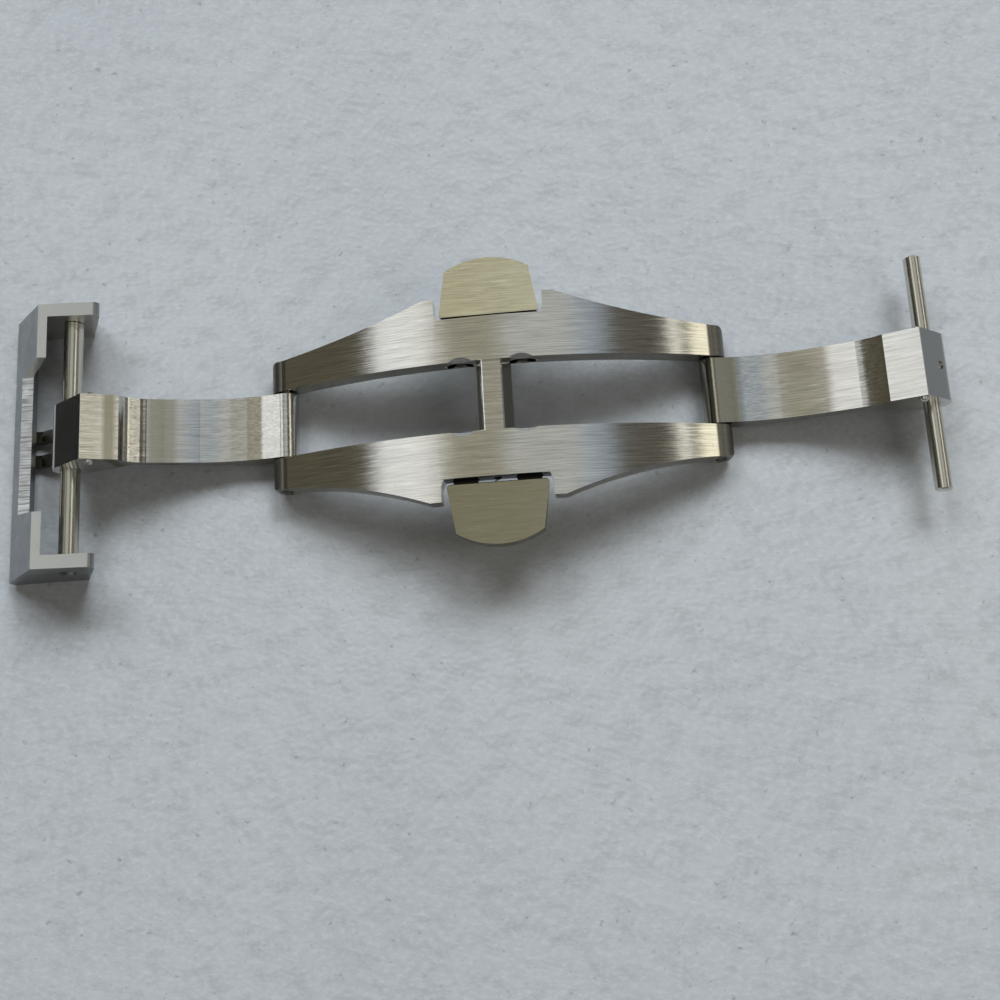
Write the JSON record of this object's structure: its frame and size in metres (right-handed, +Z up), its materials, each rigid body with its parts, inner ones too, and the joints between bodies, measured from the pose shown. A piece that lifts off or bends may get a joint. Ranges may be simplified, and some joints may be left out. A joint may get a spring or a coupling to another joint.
{
  "type": "deployant clasp",
  "caption": "Folding watch strap clasp with a curved bridge, hinged arms, sprung latch studs freed by side pushers, a tang buckle and a fixed strap bar.",
  "frame": {"origin": "middle of the open clasp's length and width, on the table that it lies on", "axes": "+X along the strap towards the fixed strap bar, +Y across the strap, +Z up, which is the wrist side of the arms and the outer side of the bridge in this open pose"},
  "size_m": [0.0882, 0.027, 0.0073],
  "materials": {
    "satin_steel": "satin brushed stainless steel with polished edges",
    "blasted_steel": "fine matte, slightly grey-green stainless steel",
    "polished_steel": "polished stainless steel",
    "pin_steel": "turned stainless steel",
    "spring_steel": "drawn spring wire"
  },
  "bodies": {
    "bridge": {"bridge": "satin_steel", "hinge_pin_left": "pin_steel", "hinge_pin_right": "pin_steel", "pusher_spring_back": "spring_steel", "pusher_spring_front": "spring_steel", "pusher_pins_back": "pin_steel", "pusher_pins_front": "pin_steel"},
    "arm_left": {"arm_left": "satin_steel", "latch_bushes_left": "satin_steel", "latch_spring_left": "spring_steel"},
    "arm_right": {"arm_right": "satin_steel", "latch_bushes_right": "satin_steel", "latch_spring_right": "spring_steel", "strap_bar": "polished_steel", "bar_lock_screw": "pin_steel"},
    "pusher_back": {"pusher_back": "satin_steel"},
    "pusher_front": {"pusher_front": "satin_steel"},
    "stud_left_back": {"stud_left_back": "pin_steel"},
    "stud_left_front": {"stud_left_front": "pin_steel"},
    "stud_right_back": {"stud_right_back": "pin_steel"},
    "stud_right_front": {"stud_right_front": "pin_steel"},
    "buckle": {"buckle_frame": "blasted_steel", "buckle_tube": "polished_steel", "buckle_screw_back": "pin_steel", "buckle_screw_front": "pin_steel"},
    "tongue_back": {"tongue_back": "polished_steel"},
    "tongue_front": {"tongue_front": "polished_steel"}
  },
  "joints": [
    {"name": "arm_left_fold", "type": "hinge", "parent": "bridge", "child": "arm_left", "pos_m": [-0.01675, 0, 0.00125], "axis": [0, 1, 0], "range_deg": [0, 150]},
    {"name": "arm_right_fold", "type": "hinge", "parent": "bridge", "child": "arm_right", "pos_m": [0.02365, 0, 0.00125], "axis": [0, -1, 0], "range_deg": [0, 153]},
    {"name": "pusher_back_press", "type": "slide", "parent": "bridge", "child": "pusher_back", "axis": [0, -1, 0], "range_m": [0, 0.00035], "stiffness_N_per_m": 300, "springref_m": -0.0005},
    {"name": "pusher_front_press", "type": "slide", "parent": "bridge", "child": "pusher_front", "axis": [0, 1, 0], "range_m": [0, 0.00035], "stiffness_N_per_m": 300, "springref_m": -0.0005},
    {"name": "stud_left_back_press", "type": "slide", "parent": "arm_left", "child": "stud_left_back", "axis": [0, -1, 0], "range_m": [0, 0.0004], "stiffness_N_per_m": 400, "springref_m": -0.0005},
    {"name": "stud_left_front_press", "type": "slide", "parent": "arm_left", "child": "stud_left_front", "axis": [0, 1, 0], "range_m": [0, 0.0004], "stiffness_N_per_m": 400, "springref_m": -0.0005},
    {"name": "stud_right_back_press", "type": "slide", "parent": "arm_right", "child": "stud_right_back", "axis": [0, -1, 0], "range_m": [0, 0.0004], "stiffness_N_per_m": 400, "springref_m": -0.0005},
    {"name": "stud_right_front_press", "type": "slide", "parent": "arm_right", "child": "stud_right_front", "axis": [0, 1, 0], "range_m": [0, 0.0004], "stiffness_N_per_m": 400, "springref_m": -0.0005},
    {"name": "buckle_swivel", "type": "hinge", "parent": "arm_left", "child": "buckle", "pos_m": [-0.03707, 0, 0.00334], "axis": [0, -1, 0], "range_deg": [0, 100]},
    {"name": "tongue_back_swing", "type": "hinge", "parent": "buckle", "child": "tongue_back", "pos_m": [-0.03707, 0, 0.00334], "axis": [0, -1, 0], "range_deg": [0, 30]},
    {"name": "tongue_front_swing", "type": "hinge", "parent": "buckle", "child": "tongue_front", "pos_m": [-0.03707, 0, 0.00334], "axis": [0, -1, 0], "range_deg": [0, 30]}
  ]
}
